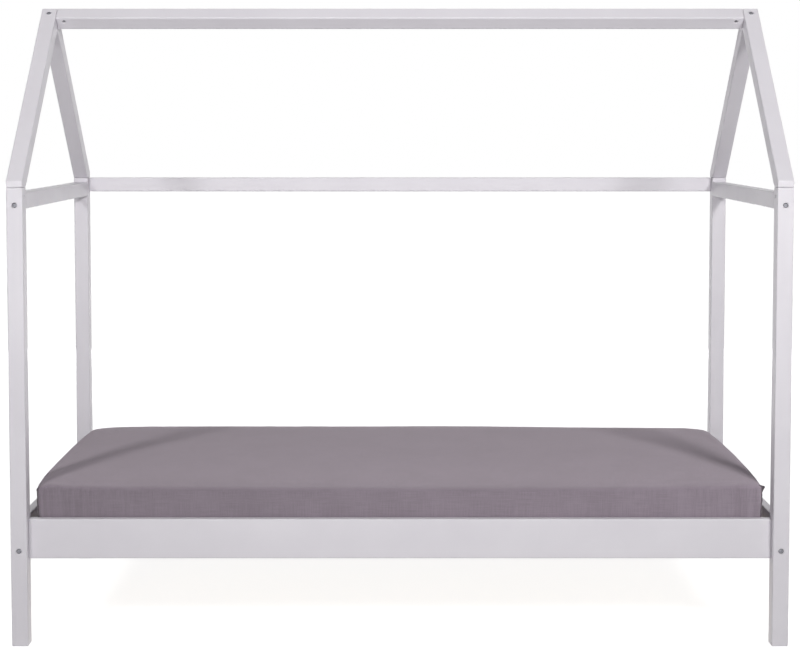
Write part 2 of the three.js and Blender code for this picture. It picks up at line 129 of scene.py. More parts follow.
def sums(tree, operation, *values):
    node = add(tree, "Math", operation=operation)
    for index, value in enumerate(values):
        join(tree, node.inputs[index], value)
    return node.outputs[0]


def plus(tree, base, part, share):
    """The base with a share of another part added to it."""
    return sums(tree, "ADD", base, sums(tree, "MULTIPLY", part, share))


print("node helpers ready")

# %% [markdown]
# A pattern reads a place: the object's own coordinates on timber and steel, the UV map on cloth.
# The next helpers make places and patterns, and turn a pattern's values into tones or relief.

# %% Helpers for patterns
def stretched(tree, vector, scale):
    """A vector with each axis scaled, which stretches whatever pattern reads it."""
    node = add(tree, "VectorMath", {0: vector, 1: scale}, operation="MULTIPLY")
    return node.outputs[0]


def axes(tree, vector):
    return add(tree, "SeparateXYZ", {"Vector": vector}).outputs


def noise_of(tree, vector, scale=1.0, detail=2.0, roughness=0.5, distortion=0.0):
    return add(tree, "TexNoise", {
        "Vector": vector, "Scale": scale, "Detail": detail,
        "Roughness": roughness, "Distortion": distortion,
    }).outputs["Fac"]


def remap(tree, value, low, high, to_low, to_high):
    return add(tree, "MapRange", {
        "Value": value, "From Min": low, "From Max": high, "To Min": to_low, "To Max": to_high,
    }).outputs["Result"]


def mixed(tree, factor, first, second):
    """Mixes two colours; the colour sockets of a Mix node are numbers 6 and 7."""
    node = add(tree, "Mix", data_type="RGBA")
    join(tree, node.inputs[0], factor)
    join(tree, node.inputs[6], first)
    join(tree, node.inputs[7], second)
    return node.outputs[2]


def relief(tree, shader, height, distance, strength=1.0, normal=None):
    """Bump from a height in the pattern's own units, scaled to a real distance in metres."""
    inputs = {"Height": height, "Distance": distance, "Strength": strength}
    if normal is not None:
        inputs["Normal"] = normal
    bump = add(tree, "Bump", inputs)
    tree.links.new(bump.outputs["Normal"], shader.inputs["Normal"])


def in_place(tree, turn=(0, 0, 0)):
    """Object coordinates in metres, turned so that the pattern's X runs along the grain."""
    source = add(tree, "TexCoord").outputs["Object"]
    return add(tree, "Mapping", {"Vector": source, "Rotation": turn}).outputs["Vector"]


def on_cloth(tree):
    """The piece's own UV map, laid out in metres like the flat cut of the cloth."""
    return add(tree, "TexCoord").outputs["UV"]


print("pattern helpers ready")

# %% [markdown]
# ## White lacquered pine
# The frame is planed pine under a satin white lacquer. Up close the growth rings and pores still
# raise the film by a few hundredths of a millimetre, the roller leaves a faint orange peel, and
# the white varies slightly from board to board. The colour could be one value with a bump map from
# a picture, but a picture would repeat. Noise that is stretched along the grain never repeats, and
# one graph serves every timber when it is turned to the direction in which that timber was sawn.
# A Bevel node softens the shading of the eased edges, which the lacquer fills. The lacquer is
# only satin, so its reflection is weaker than the shader's usual one: seen along a face, it would
# otherwise wash out the sides of the timbers, which give the frame its depth.

# %% White lacquer for each direction of the grain
LACQUER_WHITE = (0.762, 0.737, 0.777, 1)
LACQUER_SHADE = (0.719, 0.692, 0.736, 1)
LACQUER_RINGS = (1.1, 26, 26)
LACQUER_PORES = (9, 420, 420)
LACQUER_PEEL = 240
LACQUER_CLOUDS = 5.5
LACQUER_RELIEF = 0.07 * MM
EASED_EDGE = 2.5 * MM
QUARTER = math.pi / 2
GRAIN_TURNS = {
    "along": (0, 0, 0),
    "across": (0, 0, -QUARTER),
    "upright": (0, QUARTER, 0),
    "front_slope": (-QUARTER / 2, 0, -QUARTER),
    "back_slope": (QUARTER / 2, 0, -QUARTER),
}


def lacquered_pine(grain):
    """White satin lacquer; the patterns are counted in waves a metre, along the grain first."""
    material, tree, shader = new_material(f"white_lacquer_{grain}")
    place = in_place(tree, GRAIN_TURNS[grain])
    rings = noise_of(tree, stretched(tree, place, LACQUER_RINGS), 1, 2, 0.55, 0.6)
    pores = noise_of(tree, stretched(tree, place, LACQUER_PORES), 1, 3, 0.65)
    peel = noise_of(tree, place, LACQUER_PEEL, 2, 0.5)
    cloudy = noise_of(tree, place, LACQUER_CLOUDS, 3, 0.55)
    tone = remap(tree, cloudy, 0.3, 0.75, 0, 1)
    streaky = remap(tree, rings, 0.35, 0.65, 0, 0.18)
    colour = mixed(tree, tone, LACQUER_WHITE, LACQUER_SHADE)
    give(tree, shader, {
        "Base Color": mixed(tree, streaky, colour, LACQUER_SHADE),
        "Roughness": remap(tree, cloudy, 0.2, 0.8, 0.32, 0.46),
        "Specular IOR Level": 0.32, "Coat Weight": 0.04, "Coat Roughness": 0.22,
    })
    height = plus(tree, sums(tree, "MULTIPLY", rings, 0.5), pores, 0.3)
    height = plus(tree, height, peel, 0.2)
    rounded = add(tree, "Bevel", {"Radius": EASED_EDGE}, samples=4).outputs["Normal"]
    relief(tree, shader, height, LACQUER_RELIEF, 0.8, rounded)
    return material


lacquers = {grain: lacquered_pine(grain) for grain in GRAIN_TURNS}
print("lacquers:", ", ".join(lacquers))

# %% [markdown]
# ## Bare pine
# The slats and the ledgers are sawn pine without a finish, because nobody sees them from above.
# Plain-sawn boards show growth rings as long flames, darker late wood between pale early wood, and
# a knot every few hand's breadths with the rings bending round it. Here the rings are a wave across
# the board, pushed aside near the centres of large stretched Voronoi cells, which are the knots.

# %% Bare pine for each direction of the grain
EARLY_WOOD = (0.760, 0.575, 0.345, 1)
LATE_WOOD = (0.560, 0.345, 0.165, 1)
KNOT_WOOD = (0.230, 0.110, 0.045, 1)
PINE_KNOTS = (2.4, 7.5, 7.5)
PINE_WANDER = (1.6, 14, 14)
PINE_FIBRES = (14, 700, 700)
KNOT_CORE = (0.050, 0.085)
KNOT_REACH = 0.30
BOARD_SLANT = 0.45
RING_WAVE = 640
RING_WANDER = 26
RING_PUSH = 16
PINE_RELIEF = 0.25 * MM


def bare_pine(grain):
    """Sawn pine: growth rings as a wave across the board, bent aside near each knot."""
    material, tree, shader = new_material(f"bare_pine_{grain}")
    place = in_place(tree, GRAIN_TURNS[grain])
    knots = add(tree, "TexVoronoi", {"Vector": stretched(tree, place, PINE_KNOTS), "Scale": 1.0})
    from_knot = knots.outputs["Distance"]
    core = remap(tree, from_knot, *KNOT_CORE, 1, 0)
    push = remap(tree, from_knot, 0.0, KNOT_REACH, 0.75, 0)
    wander = noise_of(tree, stretched(tree, place, PINE_WANDER), 1, 3, 0.5)
    split = axes(tree, place)
    across = plus(tree, split["Y"], split["Z"], BOARD_SLANT)
    phase = sums(tree, "MULTIPLY", across, RING_WAVE)
    phase = plus(tree, phase, wander, RING_WANDER)
    phase = plus(tree, phase, push, RING_PUSH)
    rings = remap(tree, sums(tree, "SINE", phase), -1, 1, 0, 1)
    late = sums(tree, "POWER", rings, 2.2)
    fibres = noise_of(tree, stretched(tree, place, PINE_FIBRES), 1, 3, 0.7)
    faded = remap(tree, noise_of(tree, place, 3.2, 2), 0.3, 0.7, 0.25, 0.8)
    wood = mixed(tree, sums(tree, "MULTIPLY", late, faded), EARLY_WOOD, LATE_WOOD)
    wood = mixed(tree, remap(tree, fibres, 0.45, 0.8, 0, 0.3), wood, LATE_WOOD)
    give(tree, shader, {"Base Color": mixed(tree, core, wood, KNOT_WOOD),
                        "Roughness": remap(tree, late, 0, 1, 0.72, 0.55)})
    height = plus(tree, sums(tree, "MULTIPLY", late, 0.4), fibres, 0.6)
    rounded = add(tree, "Bevel", {"Radius": EASED_EDGE / 2}, samples=4).outputs["Normal"]
    relief(tree, shader, height, PINE_RELIEF, 0.8, rounded)
    return material


pines = {grain: bare_pine(grain) for grain in ("along", "across")}
print("bare pines:", ", ".join(pines))

# %% [markdown]
# ## Zinc-plated steel
# The bolts, barrel nuts, screws and staples are steel with bright zinc. Plating is crystalline,
# so its gloss breaks into small patches, and a driver leaves fine scratches. The roughness follows
# a coarse Voronoi pattern, and the scratches are noise stretched one way.

# %% Zinc
ZINC_BRIGHT = (0.27, 0.27, 0.29, 1)
ZINC_DULL = (0.19, 0.19, 0.21, 1)
ZINC_CRYSTALS = 900.0
ZINC_SCRATCHES = (300, 2600, 2600)
ZINC_RELIEF = 0.02 * MM


def zinc_plate():
    material, tree, shader = new_material("zinc_steel")
    place = in_place(tree)
    crystals = add(tree, "TexVoronoi", {"Vector": place, "Scale": ZINC_CRYSTALS}).outputs["Color"]
    patches = add(tree, "SeparateColor", {"Color": crystals}).outputs[0]
    scratches = noise_of(tree, stretched(tree, place, ZINC_SCRATCHES), 1, 2, 0.6)
    cloudy = noise_of(tree, place, 160, 2)
    give(tree, shader, {"Base Color": mixed(tree, cloudy, ZINC_DULL, ZINC_BRIGHT), "Metallic": 1,
                        "Roughness": remap(tree, patches, 0, 1, 0.42, 0.60)})
    relief(tree, shader, scratches, ZINC_RELIEF, 0.6)
    return material


zinc = zinc_plate()
print("material:", zinc.name)

# %% [markdown]
# ## Cotton tape
# Two woven tapes run under the slats and keep them apart. Such tape is a herringbone twill about
# sixteen millimetres wide: ribs slant one way on one half and the other way on the other half.
# The ribs are a sine of the place along the tape plus the distance from the middle line, folded
# with an absolute value, which is all that a herringbone is.

# %% Woven tape
TAPE_CLEAN = (0.80, 0.77, 0.69, 1)
TAPE_WORN = (0.70, 0.66, 0.57, 1)
TAPE_GROOVE_SHADE = (0.42, 0.38, 0.31, 1)
TAPE_RIB = 1.7 * MM
TAPE_RELIEF = 0.15 * MM


def woven_tape(side_name, middle_y):
    material, tree, shader = new_material(f"cotton_tape_{side_name}")
    place = in_place(tree)
    split = axes(tree, place)
    from_middle = sums(tree, "ABSOLUTE", sums(tree, "SUBTRACT", split["Y"], middle_y))
    slanted = sums(tree, "ADD", split["X"], from_middle)
    ribs = sums(tree, "SINE", sums(tree, "MULTIPLY", slanted, 2 * math.pi / TAPE_RIB))
    fuzz = noise_of(tree, place, 1500, 2, 0.7)
    worn = noise_of(tree, place, 30, 2)
    colour = mixed(tree, worn, TAPE_CLEAN, TAPE_WORN)
    # The grooves between the ribs are painted darker: painted shade.
    shade = remap(tree, ribs, -1, 1, 0.35, 0)
    give(tree, shader, {"Base Color": mixed(tree, shade, colour, TAPE_GROOVE_SHADE), "Roughness": 0.92})
    height = plus(tree, ribs, fuzz, 0.8)
    relief(tree, shader, height, TAPE_RELIEF)
    return material


tapes = {}
for side_name in ("front", "back"):
    tape_low, tape_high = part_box(f"slat_tape_{side_name}")
    tapes[side_name] = woven_tape(side_name, (tape_low.y + tape_high.y) / 2)
print("tapes:", ", ".join(tapes))

# %% [markdown]
# ## Giving the CAD pieces their finish
# Each node of the CAD model keeps its mesh, and only the material in its slot changes. The name of
# a node says which timber it is, so a short table from the start of the name to a finish is enough.

# %% Finish of every CAD node
FINISHES = {
    "post_": lacquers["upright"],
    "side_rail_bolt": zinc,
    "side_rail": lacquers["along"],
    "end_rail_bolt": zinc,
    "end_rail": lacquers["across"],
    "eave_bolt": zinc,
    "eave_rail_back": lacquers["along"],
    "eave_rail": lacquers["across"],
    "ridge_bolt": zinc,
    "ridge_beam": lacquers["along"],
    "rafter_stud": zinc,
    "rafter_front": lacquers["front_slope"],
    "rafter_back": lacquers["back_slope"],
    "ledger": pines["along"],
    "slat_tape_front": tapes["front"],
    "slat_tape_back": tapes["back"],
    "slat": pines["across"],
    "back_eave_bolt": zinc,
    "apex_bolt": zinc,
}


def finish_for(node_name):
    return next((m for start, m in FINISHES.items() if node_name.startswith(start)), None)


dressed = 0
for node_name, node_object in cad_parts.items():
    finish = finish_for(node_name)
    if finish:
        node_object.material_slots[0].material = finish
        dressed += 1
print("CAD nodes with their finish:", dressed)

# %% [markdown]
# ## Making a finished piece
# New pieces are modelled in bmesh, in metres, in the same frame as the CAD model. One helper turns
# the bmesh into an object with its material and its slot, the other applies an object's modifiers.

# %% Helpers for pieces
def mesh_of(bm, name):
    mesh = bpy.data.meshes.new(name)
    bm.to_mesh(mesh)
    bm.free()
    return mesh


def piece_from(bm, name, material, smooth=True):
    bmesh.ops.recalc_face_normals(bm, faces=bm.faces)
    mesh = mesh_of(bm, name)
    mesh.materials.append(material)
    for polygon in mesh.polygons:
        polygon.use_smooth = smooth
    piece = placed(name, mesh)
    return piece


def applied(piece):
    """The piece with all its modifiers applied to its mesh."""
    graph = bpy.context.evaluated_depsgraph_get()
    mesh = bpy.data.meshes.new_from_object(piece.evaluated_get(graph), depsgraph=graph)
    piece.modifiers.clear()
    piece.data = mesh
    return piece


print("piece helpers ready")

# %% [markdown]
# ## Mattress ticking and sheet cotton
# The mattress cover is an off-white ticking, and the fitted sheet a plain violet-grey cotton.
# From five metres a weave is only a slight unevenness: thicker and thinner yarns leave short
# streaks along the warp and across it. Close to, single yarns pass over and under each other.
# Both scales are in the same graph, on the UV map, so that yarns turn with the cloth at an edge.
# The lit fuzz of cotton makes it paler where one looks along it, which is what Sheen does: it is
# the reason why the top of the bed looks lighter than its front, though less light falls on it.
# The ordinary reflection is turned off, as cotton has none: it would lay a veil over the shadows.
# Near the corners the drawn seams pull upright lines into the sides. They are far finer than the
# mesh, so they are relief in the material, with painted light and shade along each line, and fade
# out along the bed and on the top.

# %% Pulled lines near the corners
PULL_FROM = 0.62
PULL_TO = 0.99
PULL_IN_THE_MIDDLE = 0.12
PULL_TOP = 0.441
PULL_FADE = 16 * MM
PULLS_FINE = (130, 130, 5)
PULLS_BROAD = (42, 42, 3)


def upright_pulls(tree):
    """Upright lines, and where they show: not on the top, and most near the ends of the bed."""
    place = in_place(tree)
    split = axes(tree, place)
    on_side = remap(tree, split["Z"], PULL_TOP - PULL_FADE, PULL_TOP, 1, 0)
    from_middle = sums(tree, "ABSOLUTE", split["X"])
    near_end = remap(tree, from_middle, PULL_FROM, PULL_TO, PULL_IN_THE_MIDDLE, 1)
    fine = noise_of(tree, stretched(tree, place, PULLS_FINE), 1, 2, 0.6)
    broad = noise_of(tree, stretched(tree, place, PULLS_BROAD), 1, 1, 0.5)
    lines = plus(tree, sums(tree, "MULTIPLY", fine, 0.55), broad, 0.45)
    shaped = remap(tree, lines, 0.36, 0.64, 0, 1)
    return shaped, sums(tree, "MULTIPLY", on_side, near_end)


print("pulled lines from", PULL_FROM, "m from the middle of the bed")

# %% [markdown]
# The sheet's colour is painted lighter toward the right end, and on the top lighter toward
# the front edge and darker toward the back: painted light, where the lamps fall stronger. Both are
# a slow change of one factor, by which the finished colour is multiplied.

# %% Painted light across the sheet
PAINTED_LIGHT_RIGHT = 0.15
PAINTED_LIGHT_FRONT = 0.23
PAINTED_SHADE_BACK = 0.28
PAINTED_LIGHT_ACROSS = (-0.43, 0.45)
PAINTED_LIGHT_ABOVE = (0.424, 0.436)


def painted_light_factor(tree):
    """Painted light: lighter to the right, and on the top lighter to the front and darker to the back."""
    split = axes(tree, in_place(tree))
    lengthwise = remap(tree, split["X"], -1, 1, 1 - PAINTED_LIGHT_RIGHT, 1 + PAINTED_LIGHT_RIGHT)
    crosswise = remap(tree, split["Y"], *PAINTED_LIGHT_ACROSS, PAINTED_LIGHT_FRONT, -PAINTED_SHADE_BACK)
    on_top = remap(tree, split["Z"], *PAINTED_LIGHT_ABOVE, 0, 1)
    return plus(tree, lengthwise, crosswise, on_top)


print("paler by", PAINTED_LIGHT_RIGHT, "at the right end and", PAINTED_LIGHT_FRONT, "at the front edge")

# %% [markdown]
# The cloth itself is two waves at right angles for the yarns, streaks both ways for their uneven
# thickness, and a slow cloudy change, all added up into one tone that runs from light to dark.

# %% Woven cloth
SLUBS_ALONG = (16, 520, 1)
SLUBS_ACROSS = (520, 16, 1)
SLUB_RELIEF = 1.2
PULL_RELIEF = 9.0
CLOTH_RELIEF = 0.09 * MM
LIT_FUZZ = (1.0, 0.89, 0.97, 1)


def woven_cloth(name, light, dark, yarn, streak_depth, pulled=0.0):
    """A plain weave with its yarns this far apart; pulled is how strongly the drawn lines are painted
    light and dark as painted shading; any pulled also adds their relief.
    """
    material, tree, shader = new_material(name)
    cloth = on_cloth(tree)
    split = axes(tree, cloth)
    turns = 2 * math.pi / yarn
    warp = sums(tree, "SINE", sums(tree, "MULTIPLY", split["X"], turns))
    weft = sums(tree, "SINE", sums(tree, "MULTIPLY", split["Y"], turns))
    crossing = sums(tree, "MULTIPLY", warp, weft)
    slubs_along = noise_of(tree, stretched(tree, cloth, SLUBS_ALONG), 1, 2, 0.6)
    slubs_across = noise_of(tree, stretched(tree, cloth, SLUBS_ACROSS), 1, 2, 0.6)
    slubs = sums(tree, "ADD", slubs_along, slubs_across)
    faded = noise_of(tree, cloth, 6, 5, 0.65)
    tone = sums(tree, "ADD", remap(tree, slubs, 0.7, 1.3, -streak_depth, streak_depth),
                remap(tree, faded, 0.3, 0.7, 0.15, 0.85))
    tone = sums(tree, "ADD", tone, remap(tree, crossing, -1, 1, -0.12, 0.12))
    height = plus(tree, crossing, slubs, SLUB_RELIEF)
    if pulled:
        lines, where = upright_pulls(tree)
        strength = sums(tree, "MULTIPLY", where, pulled)
        # The drawn lines are painted lighter and darker here: painted light and shade of the folds.
        painted_fold_shading = sums(tree, "SUBTRACT", 0.5, lines)
        tone = plus(tree, tone, painted_fold_shading, strength)
        raised = sums(tree, "MULTIPLY", where, PULL_RELIEF)
        height = plus(tree, height, lines, raised)
    colour = mixed(tree, tone, light, dark)
    # The sheet's colour is scaled by painted light: lighter to the right and toward the front of the top.
    if pulled:
        colour = add(tree, "VectorMath", {0: colour, "Scale": painted_light_factor(tree)}, operation="SCALE").outputs[0]
    give(tree, shader, {
        "Base Color": colour, "Roughness": 0.93, "Specular IOR Level": 0.0,
        "Sheen Weight": 0.66, "Sheen Roughness": 0.8, "Sheen Tint": LIT_FUZZ,
    })
    relief(tree, shader, height, CLOTH_RELIEF, 0.9)
    return material


print("weave ready")

# %% [markdown]
# Three cloths are woven from it. The seams are near black, far darker than the sheet: painted
# shade for the dark lines along the corners and in the ears.

# %% Sheet, seams and ticking
SHEET_YARN = 0.9 * MM
SHEET_LIGHT = (0.226, 0.186, 0.225, 1)
SHEET_DARK = (0.163, 0.133, 0.161, 1)
SEAM_SHADE_PALE = (0.060, 0.052, 0.060, 1)
SEAM_SHADE_DEEP = (0.030, 0.026, 0.030, 1)
TICKING_YARN = 1.3 * MM
TICKING_LIGHT = (0.80, 0.78, 0.74, 1)
TICKING_DARK = (0.68, 0.66, 0.61, 1)

sheet_cotton = woven_cloth("sheet_cotton", SHEET_LIGHT, SHEET_DARK, SHEET_YARN, 0.55, pulled=1.2)
seam_cotton = woven_cloth("seam_cotton", SEAM_SHADE_PALE, SEAM_SHADE_DEEP, SHEET_YARN, 0.35)
ticking = woven_cloth("mattress_ticking", TICKING_LIGHT, TICKING_DARK, TICKING_YARN, 0.2)
print("cloths:", ", ".join(cloth.name for cloth in (sheet_cotton, seam_cotton, ticking)))

# %% [markdown]
# ## The mattress
# A foam mattress is cut as a block with firm edges. A cube gets its twelve edges bevelled, and its
# faces are then cut into even squares, so that the curves below have points to act on. Voxel
# remeshing would give even squares too, but would blunt the firm edges.

# %% Mattress block
GRID_STEP = 16 * MM
FIRM_ROUND = 15 * MM
FIRM_STEPS = 3
CLOTH_OFF = 1.6 * MM

sheet_low, sheet_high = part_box("fitted_sheet")
skin = Vector((CLOTH_OFF, CLOTH_OFF, CLOTH_OFF))
body_low = sheet_low + skin
body_high = sheet_high - skin


def cut_along(bm, axis, longer_than, cuts):
    """Cuts all long edges that run along one axis, and the faces between them."""
    edges = [e for e in bm.edges if abs(e.verts[0].co[axis] - e.verts[1].co[axis]) > longer_than]
    bmesh.ops.subdivide_edges(bm, edges=edges, cuts=cuts, use_grid_fill=True)


def gridded_block(low, high):
    """A closed block with rounded edges, its faces then cut into squares."""
    bm = bmesh.new()
    size = high - low
    bmesh.ops.create_cube(bm, size=1)
    bmesh.ops.scale(bm, vec=size, verts=bm.verts)
    bmesh.ops.translate(bm, vec=(low + high) / 2, verts=bm.verts)
    bmesh.ops.bevel(bm, geom=bm.edges[:], offset=FIRM_ROUND, affect="EDGES", segments=FIRM_STEPS,
                    profile=0.5, material=-1)
    for axis in range(3):
        cut_along(bm, axis, size[axis] / 2, round(size[axis] / GRID_STEP) - 1)
    return bm


bm = gridded_block(body_low, body_high)
print("block:", len(bm.faces), "faces")

# %% [markdown]
# The block is then shaped by slow curves, given to it as moves of its points. Seen from above, the
# cover pulls the back corners round, while the front ones are sharper than the bevel left them.

# %% Corners seen from above
BACK_CORNER_ROUND = 70 * MM
FRONT_CORNER_SHARPENED = 0.7


def corner_in_plan(x, y, high, radius, power):
    """Rounds a square corner into an arc of that radius, or with a negative power undoes an arc."""
    out = Vector((abs(x) - high.x + radius, abs(y) - high.y + radius)) / radius
    if min(out) <= 0:
        return x, y
    out *= (max(out) / out.length) ** power * radius
    return math.copysign(high.x - radius + out.x, x), math.copysign(high.y - radius + out.y, y)


print("back corners rounded by", round(BACK_CORNER_ROUND / MM), "mm")

# %% [markdown]
# The top sinks softly toward its front edge, where a child climbs in and sits down: most in the
# middle of the bed, less at its ends, where the fall is also shorter. High powers of the place
# along the bed do this, because they stay near 0 for most of its length and reach 1 at the ends.

# %% Fall of the top toward the front
FRONT_FALL = 17.5 * MM
FALL_REACH = 1.1
FALL_REACH_AT_END = 0.2
FALL_STEEPNESS = 1.4
FALL_STEEPER_AT_END = 0.6
FALL_LOST_RIGHT = 0.75
FALL_LOST_LEFT = 0.5
FALL_WAVER = 1.3 * MM
FALL_WAVES = 13


def front_fall(x, along, across):
    """How far the top sinks; along and across run from -1 to 1 over the length and the width."""
    at_end = along ** 6
    reach = FALL_REACH + (FALL_REACH_AT_END - FALL_REACH) * at_end
    power = FALL_STEEPNESS + FALL_STEEPER_AT_END * at_end
    sunk = max(0, 1 - (1 + across) / reach) ** power
    lost = FALL_LOST_RIGHT if along > 0 else FALL_LOST_LEFT
    deep = FRONT_FALL * (1 - lost * along ** 4)
    return sunk * (deep + FALL_WAVER * noise.noise(Vector((FALL_WAVES * x, 0, 8))))


print("front edge sinks by up to", round(FRONT_FALL / MM, 1), "mm")

# %% [markdown]
# The cover also crowns the top, makes the ends belly out between the corners, draws the foot in,
# and pulls the back top corners down. The back right has slumped a little.

# %% Curves of the foam
TOP_CROWN = 9 * MM
CROWN_LOST_AT_END = 0.45
SETTLED = 1.5 * MM
SETTLED_WAVES = (1.7, 2.3)
BACK_CORNER_DIP = 8 * MM
BACK_RIGHT_DIP_SHARE = 0.5
BACK_RIGHT_SLUMP = 4 * MM
SLUMP_SLOPE = 2
SLUMP_DELAY = 0.2
END_BELLY = 4.5 * MM
RIGHT_END_LEAN = 3.5 * MM
FOOT_DRAWN = 2.5 * MM
NEAR_END = 8
NEAR_CORNER = 10


def give_foam_curves(bm, low, high):
    for vertex in bm.verts:
        x, y, z = vertex.co
        along = x / high.x
        across = y / high.y
        rise = (z - low.z) / (high.z - low.z)
        dip = 0
        if y > 0:
            share = BACK_RIGHT_DIP_SHARE if x > 0 else 1
            dip = BACK_CORNER_DIP * share * abs(along * across) ** NEAR_CORNER
            x, y = corner_in_plan(x, y, high, BACK_CORNER_ROUND, 1)
        else:
            x, y = corner_in_plan(x, y, high, FIRM_ROUND, -FRONT_CORNER_SHARPENED)
        crown = TOP_CROWN * ((1 - across ** 2) * (1 - CROWN_LOST_AT_END * along ** NEAR_END) - 1)
        crown += SETTLED * noise.noise(Vector((SETTLED_WAVES[0] * x, SETTLED_WAVES[1] * y, 4)))
        slumped = max(0, min(1, SLUMP_SLOPE * along - SLUMP_DELAY))
        crown -= BACK_RIGHT_SLUMP * slumped * max(0, across)
        crown -= front_fall(x, along, across)
        drawn = FOOT_DRAWN * (rise - 1)
        belly = END_BELLY * (rise * (1 - across ** 2) - 1)
        belly -= RIGHT_END_LEAN * rise * max(0, along) ** NEAR_END
        vertex.co = (x + along * (belly + drawn), y + across * drawn, z + rise * (crown - dip))


give_foam_curves(bm, body_low, body_high)
mattress = piece_from(bm, "mattress_body", ticking)
print("mattress:", len(mattress.data.vertices), "points")

# %% [markdown]
# Then the block is blown up gently as cloth, with pressure and without gravity, so that foam and
# cover find their own balance. No point may end further than a cap from where it began, because
# the foam holds its shape, and none below the slats.

# %% Swelling
SWELL_PRESSURE = 0.06
SWELL_FRAMES = 20
SWELL_CAP = 4 * MM


def run_cloth(piece, frames):
    cache = piece.modifiers[-1].point_cache
    cache.frame_start, cache.frame_end = 1, frames
    for number in range(1, frames + 1):
        bpy.context.scene.frame_set(number)
    applied(piece)
    bpy.context.scene.frame_set(1)


def swell(piece):
    """Blows the piece up within the cap, and says how far it would have gone without one."""
    homes = [v.co.copy() for v in piece.data.vertices]
    cloth = piece.modifiers.new("swell", "CLOTH").settings
    cloth.use_pressure = True
    cloth.uniform_pressure_force = SWELL_PRESSURE
    cloth.effector_weights.gravity = 0
    cloth.quality = 4
    cloth.tension_stiffness = cloth.compression_stiffness = 40
    cloth.bending_stiffness = 4
    run_cloth(piece, SWELL_FRAMES)
    farthest = 0
    for vertex, home in zip(piece.data.vertices, homes):
        move = vertex.co - home
        farthest = max(farthest, move.length)
        vertex.co = home + move * min(1, SWELL_CAP / max(move.length, 1e-9))
        vertex.co.z = max(vertex.co.z, body_low.z)
    return farthest


swollen = swell(mattress)
print("swollen by up to", round(swollen / MM, 1), "mm, before the cap")

# %% [markdown]
# ## The fitted sheet
# A fitted sheet is cut from one flat piece, here 1.40 by 2.50 m, less a square at each corner. The
# cut edges are sewn together into four upright seams, and elastic in the hem draws it in beneath
# the mattress. So the cloth starts as a second skin round the mattress, open underneath, with a gap
# that varies a little, as the start of its unevenness. A face counts as facing up or down where it
# is tilted by less than about 45 degrees.

# %% A skin round the mattress
HEM_TUCK = 110 * MM
GAP_VARIES = 0.5
GAP_WAVES = 21
FACING_UP = 0.7
FACING_DOWN = -0.7
half_length = body_high.x
half_width = body_high.y
cloth_bottom = sheet_low.z + 0.4 * MM


def skin_of(body):
    """The body's surface moved out by the gap of the cloth, and open inside the hem."""
    bm = bmesh.new()
    bm.from_mesh(body.data)
    bm.normal_update()
    for vertex in bm.verts:
        vertex.co += vertex.normal * CLOTH_OFF * (1 + GAP_VARIES * noise.noise(vertex.co * GAP_WAVES))
        vertex.co.z = max(vertex.co.z, cloth_bottom)

    def in_opening(face):
        middle = face.calc_center_median()
        inside = abs(middle.x) < half_length - HEM_TUCK and abs(middle.y) < half_width - HEM_TUCK
        return inside and face.normal.z < FACING_DOWN

    bmesh.ops.delete(bm, geom=[f for f in bm.faces if in_opening(f)], context="FACES")
    return bm


bm = skin_of(mattress)
print("skin:", len(bm.faces), "faces")

# %% [markdown]
# Yarns run straight in the flat cloth, over the top and down each side, and turn only at a seam.
# The UV map therefore gives each point its place on the cutting table, in metres.

# %% Flat layout of the cloth
def lay_out_flat(bm):
    """UV map in metres, as the sheet lies on the cutting table: sides folded out from the top."""
    layer = bm.loops.layers.uv.new("cut")
    bm.normal_update()
    for face in bm.faces:
        normal = face.normal
        for loop in face.loops:
            x, y, z = loop.vert.co
            drop = max(0, body_high.z - z)
            toward_end = abs(normal.x) > abs(normal.y)
            if normal.z < FACING_DOWN:
                toward_end = abs(x) - half_length > abs(y) - half_width
                drop += max(half_length - abs(x) if toward_end else half_width - abs(y), 0)
            if normal.z > FACING_UP:
                loop[layer].uv = (x, y)
            elif toward_end:
                loop[layer].uv = (math.copysign(half_length + drop, x), y)
            else:
                loop[layer].uv = (x, math.copysign(half_width + drop, y))


lay_out_flat(bm)
sheet = piece_from(bm, "sheet_cloth", sheet_cotton)
print("sheet:", len(sheet.data.vertices), "points")

# %% [markdown]
# The skin is let out by a fraction of a percent, except along the corner seams, which are drawn
# tight, and the cloth solver settles it on the foam. What lies under the mattress is pinned, as
# its weight pins it. One step of subdivision then smooths the squares.

# %% Sheet settled on the foam
SHEET_EASE = 0.004
SEAM_DRAWN = 0.02
SEAM_REACH = 45 * MM
PINNED_BELOW = 1 * MM
COLLISION_GAP = 1 * MM
SETTLE_FRAMES = 20


